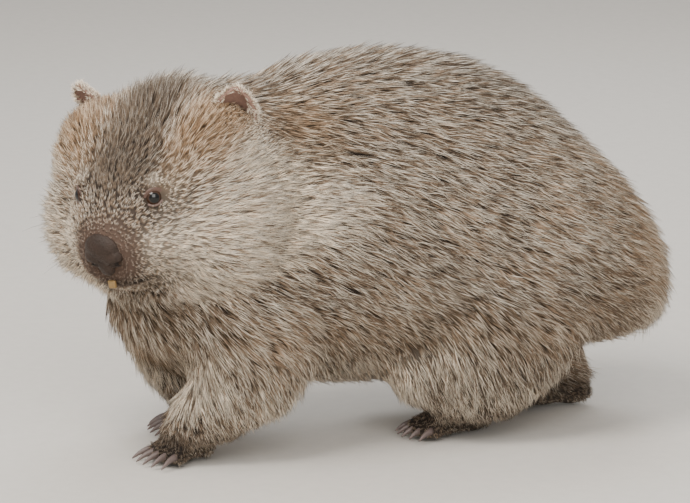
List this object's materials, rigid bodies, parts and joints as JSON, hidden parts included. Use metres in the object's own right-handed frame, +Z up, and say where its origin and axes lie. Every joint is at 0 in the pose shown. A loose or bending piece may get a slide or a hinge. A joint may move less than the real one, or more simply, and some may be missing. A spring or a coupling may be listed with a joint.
{
  "type": "wombat",
  "caption": "Life-size common wombat in mid stride, low head turned to its left, with a coarse grizzled coat; a still model that stands on flat soles.",
  "frame": {"origin": "on the floor under the middle of the wombat's box", "axes": "+Z up; the wombat faces -Y, its rump towards +Y and its left side towards +X; the head is turned towards +X"},
  "size_m": [0.3334, 0.7174, 0.4294],
  "materials": {
    "coat": "coarse grizzled grey-brown fur",
    "nose_leather": "bare pebbled dark brown skin",
    "ear_skin": "soft pinkish brown skin",
    "foot": "dark bare pads and short-haired toes with horn claws",
    "eye": "wet and dark",
    "enamel": "yellowed tooth"
  },
  "bodies": {
    "root": {"barrel": "coat", "chest": "coat", "ear_left": "ear_skin", "ear_right": "ear_skin", "eye_left": "eye", "eye_right": "eye", "forefoot_left": "foot", "forefoot_right": "foot", "foreleg_left": "coat", "foreleg_right": "coat", "head": "coat", "hindfoot_left": "foot", "hindfoot_right": "foot", "hindleg_left": "coat", "hindleg_right": "coat", "neck": "coat", "nose": "nose_leather", "rump": "coat", "tail": "coat", "upper_incisors": "enamel"}
  },
  "joints": []
}
